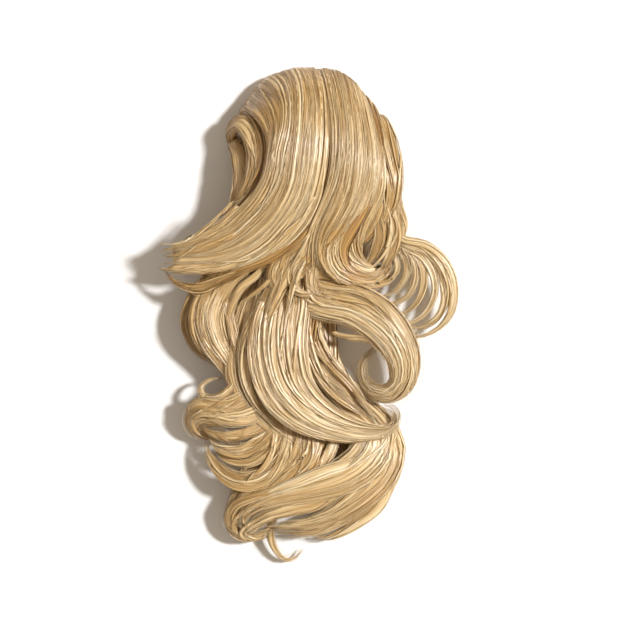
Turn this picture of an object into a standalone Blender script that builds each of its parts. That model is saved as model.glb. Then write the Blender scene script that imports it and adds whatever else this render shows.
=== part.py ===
"""A wavy ponytail extension of blond fibre, lying on its back on a flat surface.

The hair is one body: locks that rise over a domed crown or come out from under it, and wave and curl
down the tail. Under the crown a shallow cap opens downwards, for the wearer's own bun, and a plain comb
is sewn into it. +X is to the right of the piece as it is looked down on, +Y is towards the crown and
+Z is up. The origin is on the surface, under the middle of the piece.
"""

import math
from collections import namedtuple

import bmesh
import bpy
import numpy as np

# The whole piece as it lies
WIDTH = 0.252
LENGTH = 0.420
HEIGHT = 0.060

# The crown, a dome that carries the hair over the cap
CROWN_WIDTH = 0.122
CROWN_LENGTH = 0.104
CROWN_COVER = 0.006
CROWN_ACROSS = 0.002

# The cap that the hair is sewn to, open below
CAP_WIDTH = 0.092
CAP_LENGTH = 0.070
CAP_RISE = 0.028
CAP_WALL = 0.002

# The comb in the cap
COMB_WIDTH = 0.050
COMB_TEETH = 11
COMB_THICKNESS = 0.0016
COMB_HEIGHT = 0.006
SPINE_WIDTH = 0.005
TOOTH_LENGTH = 0.014
TOOTH_WIDTH = 0.0020
TOOTH_TIP_WIDTH = 0.0010

# What a lock of 100 measures in the table below
LOCK_WIDTH = 0.020
LOCK_DEPTH = 0.010

# The gap between pieces that touch
SEAT_GAP = 0.0003

# How finely the shapes are made
CROWN_SEGMENTS = 24
CROWN_RINGS = 9
CAP_SEGMENTS = 28
CAP_RINGS = 7
LOCK_SIDES = 6
STATION_SPACING = 0.034
STATION_TURN = math.radians(22)
FEWEST_STATIONS = 6
SAMPLES_PER_POINT = 24
LEVELLING = 0.35

# Where the crown sits: its far edge and its top are covered by the locks that lie over it
CROWN_RISE = HEIGHT - 2 * CROWN_COVER
CROWN_ALONG = LENGTH / 2 - CROWN_LENGTH / 2 - CROWN_COVER

# One row for each lock. Its breadths at root, middle and tip are in hundredths of LOCK_WIDTH, and its
# depth is in hundredths of LOCK_DEPTH. The route runs from root to tip, each point as (across, along,
# up) in hundredths of half the breadth, half the length and the height, with across and along counted
# from the middle of the piece. Over the crown, from CROWN_START on, across follows the crown's breadth,
# whose edge is at CROWN_EDGE.
CROWN_EDGE = 48.4
CROWN_START = 30
CROWN_FULL = 60
Lock = namedtuple("Lock", "name root middle tip depth route")
LOCKS = (
    Lock("core", 360, 300, 130, 400, (
        (2, 80, 46), (0, 52, 44), (-6, 22, 40), (-10, -6, 38), (-8, -28, 34), (-4, -46, 26))),
    Lock("fold", 70, 110, 60, 120, (
        (-46, 68, 3), (-52, 69, 14), (-52, 74, 32), (-47, 79, 46), (-38, 75, 58), (-34, 64, 68),
        (-37, 53, 72), (-46, 44, 70), (-58, 37, 66))),
    Lock("under_fold", 60, 90, 50, 100, (
        (-36, 70, 30), (-50, 70, 34), (-47, 66, 46), (-45, 56, 54), (-49, 46, 58), (-58, 38, 60))),
    Lock("sweep_left", 120, 150, 50, 140, (
        (-42, 82, 3), (-43, 86, 20), (-36, 85, 44), (-29, 77, 66), (-25, 64, 78), (-28, 53, 80),
        (-38, 43, 78), (-54, 35, 74), (-74, 30, 69), (-96, 26, 64))),
    Lock("sweep_upper", 130, 150, 60, 140, (
        (-29, 90, 3), (-30, 92, 22), (-23, 90, 50), (-16, 80, 74), (-13, 67, 85), (-17, 53, 87),
        (-28, 41, 84), (-45, 32, 79), (-68, 26, 72), (-95, 23, 64))),
    Lock("sweep_middle", 130, 150, 50, 140, (
        (-15, 94, 3), (-15, 95, 24), (-9, 92, 54), (-3, 80, 79), (-3, 66, 88), (-8, 51, 88),
        (-20, 38, 85), (-38, 28, 80), (-64, 21, 73), (-98, 19, 62))),
    Lock("sweep_lower", 130, 150, 40, 140, (
        (-2, 95, 3), (-2, 96, 24), (4, 92, 56), (7, 80, 81), (8, 65, 88), (4, 50, 87),
        (-8, 37, 85), (-24, 27, 81), (-44, 21, 75), (-66, 18, 69), (-90, 18, 62))),
    Lock("parting", 130, 140, 30, 140, (
        (10, 94, 3), (10, 95, 24), (15, 90, 58), (18, 78, 82), (18, 64, 88), (14, 50, 87),
        (4, 38, 86), (-8, 29, 82), (-19, 24, 77), (-25, 18, 71), (-27, 11, 64))),
    Lock("crown_right", 130, 160, 70, 140, (
        (22, 91, 3), (23, 92, 24), (26, 86, 58), (28, 75, 80), (28, 61, 86), (23, 48, 85),
        (13, 37, 83), (2, 28, 78), (-9, 21, 73), (-17, 14, 66), (-16, 8, 58), (-9, 10, 54))),
    Lock("scallop", 120, 170, 35, 130, (
        (31, 86, 3), (33, 87, 24), (37, 80, 54), (39, 69, 73), (37, 56, 79), (29, 45, 79),
        (20, 36, 77), (15, 27, 72), (20, 18, 66), (33, 14, 60), (47, 15, 54), (54, 22, 50),
        (51, 30, 44))),
    Lock("crown_side", 110, 190, 60, 120, (
        (40, 79, 3), (43, 79, 22), (48, 69, 48), (49, 58, 62), (48, 48, 64), (45, 40, 60),
        (39, 33, 55), (33, 26, 50))),
    Lock("side_tip", 80, 90, 45, 100, (
        (44, 71, 3), (50, 72, 22), (54, 63, 42), (58, 53, 50), (62, 45, 52), (65, 39, 52))),
    Lock("loop_outer", 90, 80, 35, 100, (
        (32, 62, 34), (44, 46, 40), (53, 36, 46), (65, 30, 49), (79, 28, 48), (90, 21, 45),
        (94, 11, 41), (91, 2, 36), (81, -3, 32), (69, -5, 28), (56, -4, 26))),
    Lock("loop_middle", 70, 50, 25, 80, (
        (28, 60, 30), (42, 44, 38), (55, 34, 43), (68, 28, 45), (76, 20, 42), (76, 11, 38),
        (69, 3, 34), (58, 0, 30), (46, 2, 28))),
    Lock("loop_inner", 80, 70, 30, 90, (
        (24, 58, 28), (38, 42, 36), (52, 33, 42), (62, 28, 43), (68, 20, 41), (66, 13, 38),
        (58, 8, 34), (46, 7, 30), (32, 8, 28))),
    Lock("ring", 170, 190, 20, 130, (
        (4, 56, 40), (-3, 36, 44), (-6, 20, 50), (-1, 10, 57), (12, 7, 62), (28, 5, 66),
        (43, 0, 67), (56, -8, 64), (63, -18, 59), (61, -27, 53), (52, -31, 48), (42, -30, 44),
        (35, -25, 40), (35, -19, 38), (41, -14, 37), (50, -10, 36))),
    Lock("wave", 170, 250, 25, 130, (
        (-10, 60, 46), (-14, 38, 50), (-16, 20, 54), (-18, 7, 60), (-21, -5, 67), (-21, -16, 70),
        (-16, -27, 69), (-4, -36, 66), (12, -42, 61), (28, -45, 56), (43, -46, 50), (54, -45, 44),
        (58, -41, 39), (55, -37, 35), (49, -36, 32))),
    Lock("under_ring", 160, 170, 60, 120, (
        (8, 50, 30), (3, 28, 32), (-1, 8, 36), (-2, -8, 40), (6, -20, 44), (19, -28, 45),
        (31, -35, 42), (41, -40, 36))),
    Lock("edge_left", 110, 80, 40, 100, (
        (-24, 56, 28), (-40, 38, 34), (-58, 21, 38), (-75, 9, 41), (-82, -2, 40), (-76, -12, 36),
        (-63, -18, 32), (-50, -24, 30))),
    Lock("bulge_left", 150, 170, 80, 130, (
        (-24, 56, 34), (-32, 38, 40), (-45, 22, 46), (-61, 11, 52), (-69, 1, 55), (-66, -9, 53),
        (-56, -18, 47), (-47, -27, 42), (-40, -37, 36))),
    Lock("hollow_left", 150, 170, 90, 130, (
        (-16, 52, 28), (-22, 30, 34), (-30, 13, 41), (-39, 2, 47), (-44, -12, 50), (-44, -25, 50),
        (-34, -36, 48), (-18, -45, 45), (0, -51, 42), (18, -55, 38))),
    Lock("shell_upper", 150, 180, 70, 150, (
        (-8, 40, 26), (-14, 12, 30), (-18, -12, 36), (-26, -29, 43), (-42, -36, 50), (-59, -38, 52),
        (-72, -39, 46), (-79, -42, 34), (-72, -46, 24), (-58, -45, 18))),
    Lock("shell_middle", 140, 120, 60, 120, (
        (-4, 36, 22), (-8, 8, 26), (-10, -18, 32), (-19, -41, 41), (-33, -51, 46), (-50, -55, 46),
        (-62, -53, 40), (-66, -48, 30), (-58, -44, 22))),
    Lock("shell_lower", 150, 140, 60, 130, (
        (0, 34, 18), (-4, 6, 22), (-4, -22, 28), (-9, -46, 40), (-20, -58, 45), (-36, -65, 45),
        (-52, -64, 41), (-62, -58, 34), (-64, -51, 24))),
    Lock("fan", 190, 220, 110, 150, (
        (4, 32, 16), (2, 4, 20), (2, -24, 28), (-1, -46, 38), (-10, -59, 43), (-25, -68, 43),
        (-40, -73, 40), (-49, -80, 34), (-47, -86, 26))),
    Lock("bottom_bright", 150, 200, 70, 150, (
        (2, 30, 22), (-3, 4, 24), (2, -18, 28), (16, -33, 31), (34, -42, 34), (44, -49, 40),
        (38, -57, 47), (22, -64, 52), (2, -68, 54), (-18, -71, 52), (-35, -75, 47), (-44, -81, 40),
        (-38, -86, 33), (-26, -83, 30))),
    Lock("bottom_gold", 150, 180, 70, 150, (
        (6, 28, 14), (2, 2, 16), (8, -20, 20), (24, -35, 22), (42, -44, 25), (51, -53, 30),
        (47, -63, 36), (33, -72, 40), (16, -79, 40), (-2, -83, 37), (-20, -83, 32))),
    Lock("bottom_edge", 130, 150, 50, 130, (
        (8, 24, 9), (5, -2, 9), (13, -24, 10), (32, -37, 12), (48, -46, 16), (54, -57, 22),
        (48, -69, 27), (36, -78, 28), (20, -84, 24), (5, -86, 18))),
    Lock("ring_bottom", 130, 130, 60, 130, (
        (-6, 20, 10), (-14, -6, 10), (-22, -32, 13), (-34, -55, 20), (-46, -71, 28), (-51, -80, 30),
        (-47, -87, 25), (-35, -87, 19))),
    Lock("hook", 45, 35, 20, 60, (
        (-14, -62, 26), (-22, -76, 26), (-27, -86, 24), (-25, -93, 19), (-18, -98, 14),
        (-11, -98, 10), (-5, -94, 8))),
    Lock("bed_left", 150, 160, 80, 120, (
        (-22, 50, 12), (-36, 30, 8), (-50, 12, 7), (-54, -6, 7), (-46, -22, 7), (-44, -36, 8))),
    Lock("bed_middle", 170, 200, 100, 120, (
        (-8, 46, 12), (-20, 22, 8), (-26, -4, 7), (-20, -28, 7), (-28, -50, 7), (-36, -66, 8),
        (-30, -80, 9))),
    Lock("bed_right", 160, 180, 100, 120, (
        (12, 46, 12), (24, 30, 8), (22, 14, 7), (6, 4, 7), (-2, -14, 7), (2, -34, 7), (14, -50, 7),
        (28, -62, 7), (20, -74, 8), (0, -80, 9))),
)
HUNDREDTH = 0.01


def clear_scene():
    """Empties the scene of what it opens with."""
    for thing in list(bpy.data.objects):
        bpy.data.objects.remove(thing, do_unlink=True)


def plain_material(name, colour, roughness):
    """A Principled material of one colour."""
    material = bpy.data.materials.new(name)
    material.use_nodes = True
    shader = material.node_tree.nodes["Principled BSDF"]
    shader.inputs["Base Color"].default_value = (*colour, 1.0)
    shader.inputs["Roughness"].default_value = roughness
    shader.inputs["Metallic"].default_value = 0.0
    material.diffuse_color = (*colour, 1.0)
    return material


def add_object(name, fill, material=None):
    """One object, whose mesh the given function fills through bmesh."""
    mesh = bpy.data.meshes.new(name)
    shape = bmesh.new()
    fill(shape)
    bmesh.ops.recalc_face_normals(shape, faces=shape.faces)
    shape.to_mesh(mesh)
    shape.free()
    if material:
        mesh.materials.append(material)
    thing = bpy.data.objects.new(name, mesh)
    bpy.context.scene.collection.objects.link(thing)
    return thing


def add_helper(name, fill):
    """A cutter, or a lock to be joined into the hair, which isn't a piece of its own."""
    thing = add_object(name, fill)
    thing.hide_render = True
    thing.display_type = "WIRE"
    return thing


def boolean(target, other, operation, solver="EXACT"):
    """Adds a Boolean. Locks cross themselves where they curl, and there the exact solver loses whole
    locks, so the hair is joined and cut with the manifold one."""
    modifier = target.modifiers.new(f"{operation.lower()} {other.name}", "BOOLEAN")
    modifier.operation = operation
    modifier.solver = solver
    modifier.object = other


def eased(t):
    """Goes from 0 to 1 with a soft start and end."""
    t = np.clip(t, 0, 1)
    return t * t * (3 - 2 * t)


def unit(vectors):
    """The same directions with a length of 1."""
    return vectors / np.maximum(np.linalg.norm(vectors, axis=-1, keepdims=True), 1e-9)


def route_points(lock):
    """The lock's route in metres."""
    across, along, up = np.array(lock.route, float).T
    on_crown = eased((along - CROWN_START) / (CROWN_FULL - CROWN_START))
    tail_scale = WIDTH / 2 * HUNDREDTH
    crown_scale = CROWN_WIDTH / 2 / CROWN_EDGE
    x = across * (tail_scale + (crown_scale - tail_scale) * on_crown)
    return np.stack([x, along * LENGTH / 2 * HUNDREDTH, up * HEIGHT * HUNDREDTH], axis=1)


def smooth_curve(points):
    """Many points on a centripetal Catmull-Rom curve through the route's own."""
    ends = np.vstack([2 * points[0] - points[1], points, 2 * points[-1] - points[-2]])
    spans = np.linalg.norm(np.diff(ends, axis=0), axis=1)
    knots = np.concatenate([[0], np.cumsum(np.sqrt(spans))])
    curve = []
    for i in range(1, len(ends) - 2):
        p0, p1, p2, p3 = ends[i - 1:i + 3]
        t0, t1, t2, t3 = knots[i - 1:i + 3]
        t = np.linspace(t1, t2, SAMPLES_PER_POINT, endpoint=False)[:, None]
        a1 = (t1 - t) / (t1 - t0) * p0 + (t - t0) / (t1 - t0) * p1
        a2 = (t2 - t) / (t2 - t1) * p1 + (t - t1) / (t2 - t1) * p2
        a3 = (t3 - t) / (t3 - t2) * p2 + (t - t2) / (t3 - t2) * p3
        b1 = (t2 - t) / (t2 - t0) * a1 + (t - t0) / (t2 - t0) * a2
        b2 = (t3 - t) / (t3 - t1) * a2 + (t - t1) / (t3 - t1) * a3
        curve.append((t2 - t) / (t2 - t1) * b1 + (t - t1) / (t2 - t1) * b2)
    return np.vstack([*curve, points[-1:]])


def stations(curve):
    """Where the lock's sections stand, closer where it bends, and how far along it each is, from 0 to 1."""
    steps = np.diff(curve, axis=0)
    lengths = np.linalg.norm(steps, axis=1)
    cosines = np.sum(unit(steps[1:]) * unit(steps[:-1]), axis=1)
    turns = np.concatenate([[0], np.arccos(np.clip(cosines, -1, 1))])
    effort = np.concatenate([[0], np.cumsum(lengths / STATION_SPACING + turns / STATION_TURN)])
    distance = np.concatenate([[0], np.cumsum(lengths)])
    count = max(FEWEST_STATIONS, math.ceil(effort[-1]) + 1)
    at = np.linspace(0, effort[-1], count)
    points = np.stack([np.interp(at, effort, curve[:, k]) for k in range(3)], axis=1)
    return points, np.interp(at, effort, distance) / distance[-1]


def carried(width, tangent):
    """The breadth's direction carried on to the next station, and levelled where the lock runs level."""
    moved = unit(width - np.dot(width, tangent) * tangent)
    level = np.cross(tangent, (0.0, 0.0, 1.0))
    if np.dot(level, moved) < 0:
        level = -level
    return unit(moved + LEVELLING * np.linalg.norm(level) * level)


def section_axes(points):
    """For each station, the directions of the lock's breadth and of its depth."""
    tangents = unit(np.gradient(points, axis=0))
    level = np.cross(tangents, (0.0, 0.0, 1.0))
    start = int(np.argmax(np.linalg.norm(level, axis=1)))
    widths = np.zeros_like(points)
    widths[start] = unit(level[start])
    for i in range(start + 1, len(points)):
        widths[i] = carried(widths[i - 1], tangents[i])
    for i in range(start - 1, -1, -1):
        widths[i] = carried(widths[i + 1], tangents[i])
    return widths, unit(np.cross(tangents, widths))


def lock_shape(lock):
    """Fills a bmesh with the lock: rings of an oval section along its route, with closed ends."""
    points, share = stations(smooth_curve(route_points(lock)))
    widths, depths = section_axes(points)
    breadth = lock.root + (lock.middle - lock.root) * eased(2 * share)
    breadth = breadth - (lock.middle - lock.tip) * eased(2 * share - 1)
    depth = lock.depth * np.sqrt(breadth / max(lock.root, lock.middle))
    breadth = breadth * HUNDREDTH * LOCK_WIDTH
    depth = depth * HUNDREDTH * LOCK_DEPTH
    angles = 2 * math.pi * (np.arange(LOCK_SIDES) + 0.5) / LOCK_SIDES

    def fill(shape):
        rings = []
        for i, centre in enumerate(points):
            across = widths[i] * breadth[i] / 2
            up = depths[i] * depth[i] / 2
            rings.append([shape.verts.new(centre + across * math.cos(a) + up * math.sin(a)) for a in angles])
        join_rings(shape, rings)
        shape.faces.new(rings[0])
        shape.faces.new(rings[-1])

    return fill


def join_rings(shape, rings):
    """Faces between each closed ring of points and the next."""
    for first, second in zip(rings, rings[1:]):
        for k in range(len(first)):
            n = (k + 1) % len(first)
            shape.faces.new((first[k], first[n], second[n], second[k]))


def dome_shape(breadth, length, rise, segments, rings, foot=0.0):
    """Fills a bmesh with half an ellipsoid over the crown's middle, with a straight foot below it."""

    def fill(shape):
        loops = []
        levels = [(1.0, -foot)] if foot else []
        levels += [(math.cos(a), rise * math.sin(a)) for a in np.linspace(0, math.pi / 2, rings)[:-1]]
        for share, up in levels:
            loops.append([
                shape.verts.new((
                    CROWN_ACROSS + breadth / 2 * share * math.cos(2 * math.pi * k / segments),
                    CROWN_ALONG + length / 2 * share * math.sin(2 * math.pi * k / segments),
                    up,
                ))
                for k in range(segments)
            ])
        join_rings(shape, loops)
        top = shape.verts.new((CROWN_ACROSS, CROWN_ALONG, rise))
        for k in range(segments):
            shape.faces.new((loops[-1][k], loops[-1][(k + 1) % segments], top))
        shape.faces.new(loops[0])

    return fill


def floor_shape(shape):
    """Fills a bmesh with a block under the surface that the piece lies on, larger than the piece."""
    bmesh.ops.create_cube(shape, size=1.0)
    bmesh.ops.scale(shape, vec=(2 * WIDTH, 2 * LENGTH, HEIGHT), verts=shape.verts)
    bmesh.ops.translate(shape, vec=(0, 0, -HEIGHT / 2), verts=shape.verts)


def wall_reach(across):
    """How far towards the crown's far edge the cap's inner wall lies, at the comb's top."""
    level = (COMB_HEIGHT + COMB_THICKNESS) / (CAP_RISE - CAP_WALL)
    narrowing = math.sqrt(1 - level ** 2)
    facets = math.cos(math.pi / CAP_SEGMENTS) * math.cos(math.pi / 4 / (CAP_RINGS - 1))
    half_breadth = (CAP_WIDTH / 2 - CAP_WALL) * narrowing * facets
    half_length = (CAP_LENGTH / 2 - CAP_WALL) * narrowing * facets
    return half_length * math.sqrt(1 - (across / half_breadth) ** 2)


def comb_corners():
    """The comb seen from above, one corner at each side of every tooth: along its back, along its front
    and at its teeth's tips."""
    pitch = (COMB_WIDTH - TOOTH_WIDTH) / (COMB_TEETH - 1)
    back, front, tips = [], [], []
    for tooth in range(COMB_TEETH):
        middle = TOOTH_WIDTH / 2 - COMB_WIDTH / 2 + tooth * pitch
        for side in (-1, 1):
            across = middle + side * TOOTH_WIDTH / 2
            along = wall_reach(across) - SEAT_GAP
            back.append((across, along))
            front.append((across, along - SPINE_WIDTH))
            tips.append((middle + side * TOOTH_TIP_WIDTH / 2, along - SPINE_WIDTH - TOOTH_LENGTH))
    return back, front, tips


def comb_shape(shape):
    """Fills a bmesh with the comb: a spine that follows the cap's wall, and teeth towards the tail."""

    def level(up):
        return [
            [shape.verts.new((CROWN_ACROSS + x, CROWN_ALONG + y, up)) for x, y in row]
            for row in comb_corners()
        ]

    low_back, low_front, low_tip = level(COMB_HEIGHT)
    high_back, high_front, high_tip = level(COMB_HEIGHT + COMB_THICKNESS)
    last = len(low_back) - 1
    for k in range(last):
        shape.faces.new((low_back[k], low_back[k + 1], low_front[k + 1], low_front[k]))
        shape.faces.new((high_back[k], high_front[k], high_front[k + 1], high_back[k + 1]))
        shape.faces.new((low_back[k], high_back[k], high_back[k + 1], low_back[k + 1]))
    for k in (0, last):
        shape.faces.new((low_back[k], low_front[k], high_front[k], high_back[k]))
    for k in range(1, last, 2):
        shape.faces.new((low_front[k], low_front[k + 1], high_front[k + 1], high_front[k]))
    for k in range(0, last, 2):
        shape.faces.new((low_front[k], low_front[k + 1], low_tip[k + 1], low_tip[k]))
        shape.faces.new((high_front[k], high_tip[k], high_tip[k + 1], high_front[k + 1]))
        shape.faces.new((low_tip[k], low_tip[k + 1], high_tip[k + 1], high_tip[k]))
        shape.faces.new((low_front[k], low_tip[k], high_tip[k], high_front[k]))
        shape.faces.new((low_front[k + 1], high_front[k + 1], high_tip[k + 1], low_tip[k + 1]))


def make_hair(material):
    """The crown with every lock joined to it, cut clear of the cap and of the surface below."""
    body = add_object(
        "hair", dome_shape(CROWN_WIDTH, CROWN_LENGTH, CROWN_RISE, CROWN_SEGMENTS, CROWN_RINGS), material)
    for lock in LOCKS:
        boolean(body, add_helper(f"lock_{lock.name}", lock_shape(lock)), "UNION", "MANIFOLD")
    hollow = add_helper("hollow", dome_shape(
        CAP_WIDTH + 2 * SEAT_GAP, CAP_LENGTH + 2 * SEAT_GAP, CAP_RISE + SEAT_GAP, CAP_SEGMENTS, CAP_RINGS,
        foot=HEIGHT))
    boolean(body, hollow, "DIFFERENCE", "MANIFOLD")
    boolean(body, add_helper("floor_cut", floor_shape), "DIFFERENCE", "MANIFOLD")


def make_cap(material):
    """The domed cap, open below."""
    body = add_object("cap", dome_shape(CAP_WIDTH, CAP_LENGTH, CAP_RISE, CAP_SEGMENTS, CAP_RINGS), material)
    inside = add_helper("cap_inside", dome_shape(
        CAP_WIDTH - 2 * CAP_WALL, CAP_LENGTH - 2 * CAP_WALL, CAP_RISE - CAP_WALL, CAP_SEGMENTS, CAP_RINGS,
        foot=HEIGHT))
    boolean(body, inside, "DIFFERENCE")


def make_comb(material):
    """The comb, sewn inside the cap at the crown's far edge."""
    add_object("comb", comb_shape, material)


def centre_over_origin():
    """Moves everything so that the piece's box stands over the origin."""
    hair = bpy.data.objects["hair"].evaluated_get(bpy.context.evaluated_depsgraph_get())
    corners = np.array([corner[:] for corner in hair.bound_box])
    middle = (corners.min(axis=0) + corners.max(axis=0)) / 2
    for thing in bpy.data.objects:
        thing.location = (-middle[0], -middle[1], 0.0)


clear_scene()
make_hair(plain_material("blond_fibre", (0.72, 0.52, 0.27), 0.35))
make_cap(plain_material("cap_cloth", (0.60, 0.45, 0.28), 0.85))
make_comb(plain_material("comb_plastic", (0.55, 0.38, 0.20), 0.30))
centre_over_origin()
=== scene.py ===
"""A wavy ponytail extension of blond fibre, laid on a pale surface and looked at from above."""

import math

import bpy
import numpy as np
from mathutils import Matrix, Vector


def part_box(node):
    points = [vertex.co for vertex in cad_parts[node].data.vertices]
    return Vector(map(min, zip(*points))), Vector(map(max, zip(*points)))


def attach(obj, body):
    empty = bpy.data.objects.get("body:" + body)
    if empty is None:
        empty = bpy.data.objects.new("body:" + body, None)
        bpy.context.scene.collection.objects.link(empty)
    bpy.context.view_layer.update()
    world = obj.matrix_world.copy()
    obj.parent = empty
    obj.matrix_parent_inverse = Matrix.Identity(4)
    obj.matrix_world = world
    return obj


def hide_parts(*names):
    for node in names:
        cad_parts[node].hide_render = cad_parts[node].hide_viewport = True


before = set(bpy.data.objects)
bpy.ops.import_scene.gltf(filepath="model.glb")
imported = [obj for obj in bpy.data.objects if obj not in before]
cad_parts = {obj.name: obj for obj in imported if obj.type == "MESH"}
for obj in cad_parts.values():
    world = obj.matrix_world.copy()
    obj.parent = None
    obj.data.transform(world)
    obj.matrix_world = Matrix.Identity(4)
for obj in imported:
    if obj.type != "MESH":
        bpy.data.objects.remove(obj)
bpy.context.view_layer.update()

# The piece lies on its cap with the tail drawn out towards the viewer's feet, and is seen from straight
# above through a long lens. The view is half a metre wide and sits a little right of the piece.
VIEW_WIDTH = 0.5376
VIEW_ACROSS = 0.0084
VIEW_ALONG = -0.0025
LENS_MM = 135
SENSOR_MM = 36
FOCUS_HEIGHT = 0.035
bpy.ops.object.camera_add(
    location=(VIEW_ACROSS, VIEW_ALONG, FOCUS_HEIGHT + VIEW_WIDTH * LENS_MM / SENSOR_MM),
    rotation=(0.0, 0.0, 0.0),
)
camera = bpy.context.object
camera.data.sensor_width = SENSOR_MM
camera.data.lens = LENS_MM
bpy.context.scene.camera = camera

# The bed is the hair that lies lowest: broad, slack locks that leave the cap at the nape side and carry
# the curls above them. A lock is a body of combed fibre, parted along its length, with flat tufts and
# single strands laid over it, and what makes one here makes every lock after it.
HALF_BREADTH = 0.126
HALF_LENGTH = 0.210
HEIGHT = 0.060
FULL_BREADTH = 0.020
FULL_DEPTH = 0.010
STATIONS = 120
ROUTE_SAMPLES = 24
LEVELLING = 7.0
CLUMPS = ((0.0100, 0.50), (0.0045, 0.30), (0.0022, 0.20))
CLUMP_LENGTH = 0.085
CLUMP_SAMPLES = 241
CLUMP_GAIN = 0.9
SHEET_SAMPLES = 97
SHEET_NARROWEST = 0.25
SHEET_EDGE_POWER = 5
SHEET_TIP = 0.35
SHEET_TIP_REACH = 0.5
FLOOR_GAP = 0.0003
UV_STEP = 0.001
UV_TUBE_STEP = 0.01
PARTING_DEPTH = 0.0013
PARTING_POWER = 5
PARTING_ROOT = 0.05
PARTING_TIP = 0.4
PARTING_TIP_REACH = 0.3
FINE_RELIEF = 0.5
SINK = 0.6
TONE_REACH = 0.5
TIP_GROUP = 0.011
TIP_GATHERING = 0.85
TIP_GATHERED_FROM = 0.72
TIP_GATHERED_OVER = 0.28
BODY_SIZE = 0.92
BODY_SPACING = 0.0016
BODY_STATION_SPACING = 0.0052
BODY_SIDES = (10, 84)
BODY_STATIONS = (24, 72)
BODY_END = 1.3
BODY_END_RANGE = 1.1
BODY_ROOT_TAPER = 0.02
BODY_TIP_TAPER = 2.4
BODY_TAPER_POWER = 0.6
BODY_NARROWEST = 0.003
BODY_TINT = 0.56
BODY_PARTING_SHADE = 0.22
BODY_CLUMP_TINT = 0.35
UNDERSIDE_SHADE = 0.2
LOOSE_TINT = 0.54
TUFT_SPACING = 0.0060
TUFT_BREADTH = (0.0012, 0.0042)
TUFT_SIDES = 4
TUFT_STATIONS = 26
TUFT_DRIFT = 0.004
TUFT_ENDS = (0.12, 0.35)
TUFT_NARROWEST = 0.08
TUFT_AT_NARROW = 0.4
TUFT_FLATNESS = (0.10, 0.18)
TUFT_LIFT = 0.0022
TUFT_UV_BREADTH = 2.2
TUFT_TINT_SPREAD = 0.09
TUFT_CLUMP_TINT = 0.25
STRAND_SPACING = 0.00095
STRAND_BREADTH = (0.00018, 0.00042)
STRAND_SIDES = 3
STRAND_STATIONS = 26
STRAND_DRIFT = 0.003
STRAND_LIFT = (0, 0.0003)
STRAND_ENDS = (0.05, 0.25)
STRAND_NARROWEST = 0.3
STRAND_UV_BREADTH = 0.002
STRAND_TINT_SPREAD = 0.13
STRAND_CLUMP_TINT = 0.3
STRAY_SHARE = 0.07
STRAY_DRIFT = 0.010
STRAY_LIFT = (0.0008, 0.0040)


def unit(vectors):
    """The same directions with a length of 1."""
    return vectors / np.maximum(np.linalg.norm(vectors, axis=-1, keepdims=True), 1e-9)


def eased(t):
    """Goes from 0 to 1 with a soft start and end."""
    t = np.clip(t, 0, 1)
    return t * t * (3 - 2 * t)


def rising(low, share):
    """Goes from low to 1 as the share goes from 0 to 1."""
    return low + (1 - low) * share


def route_curve(route):
    """Even stations, in metres, along a smooth curve through a route in hundredths of the piece's size."""
    points = np.array(route, float) * (HALF_BREADTH / 100, HALF_LENGTH / 100, HEIGHT / 100)
    ends = np.vstack([2 * points[0] - points[1], points, 2 * points[-1] - points[-2]])
    knots = np.concatenate([[0], np.cumsum(np.sqrt(np.linalg.norm(np.diff(ends, axis=0), axis=1)))])
    curve = []
    for i in range(1, len(ends) - 2):
        p0, p1, p2, p3 = ends[i - 1:i + 3]
        t0, t1, t2, t3 = knots[i - 1:i + 3]
        t = np.linspace(t1, t2, ROUTE_SAMPLES, endpoint=False)[:, None]
        a1 = (t1 - t) / (t1 - t0) * p0 + (t - t0) / (t1 - t0) * p1
        a2 = (t2 - t) / (t2 - t1) * p1 + (t - t1) / (t2 - t1) * p2
        a3 = (t3 - t) / (t3 - t2) * p2 + (t - t2) / (t3 - t2) * p3
        b1 = (t2 - t) / (t2 - t0) * a1 + (t - t0) / (t2 - t0) * a2
        b2 = (t3 - t) / (t3 - t1) * a2 + (t - t1) / (t3 - t1) * a3
        curve.append((t2 - t) / (t2 - t1) * b1 + (t - t1) / (t2 - t1) * b2)
    curve = np.vstack([*curve, points[-1:]])
    along = np.concatenate([[0], np.cumsum(np.linalg.norm(np.diff(curve, axis=0), axis=1))])
    at = np.linspace(0, along[-1], STATIONS)
    return np.stack([np.interp(at, along, curve[:, k]) for k in range(3)], axis=1), along[-1]


def sampled(grid, a, t):
    """Values between the points of a grid, whose rows run across the hair and whose columns run along."""
    row = np.clip(a, 0, 1) * (grid.shape[0] - 1)
    column = np.clip(t, 0, 1) * (grid.shape[1] - 1)
    i = np.minimum(row.astype(int), grid.shape[0] - 2)
    k = np.minimum(column.astype(int), grid.shape[1] - 2)
    x, y = row - i, column - k
    if grid.ndim == 3:
        x, y = x[..., None], y[..., None]
    low = grid[i, k] * (1 - y) + grid[i, k + 1] * y
    high = grid[i + 1, k] * (1 - y) + grid[i + 1, k + 1] * y
    return low * (1 - x) + high * x


def clump_values(rng, breadth, span, length, closed):
    """Soft random values between -1 and 1, in clumps of the given breadth that run along the hair."""
    rows = max(3, round(span / breadth))
    columns = max(3, round(length / CLUMP_LENGTH))
    values = rng.uniform(-1, 1, (rows + 1, columns + 1))
    if closed:
        values[-1] = values[0]
    across, along = np.linspace(0, rows, CLUMP_SAMPLES), np.linspace(0, columns, STATIONS)
    a, t = np.meshgrid(across, along, indexing="ij")
    i, k = np.minimum(a.astype(int), rows - 1), np.minimum(t.astype(int), columns - 1)
    x, y = eased(a - i), eased(t - k)
    low = values[i, k] * (1 - y) + values[i, k + 1] * y
    high = values[i + 1, k] * (1 - y) + values[i + 1, k + 1] * y
    return low * (1 - x) + high * x


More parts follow.
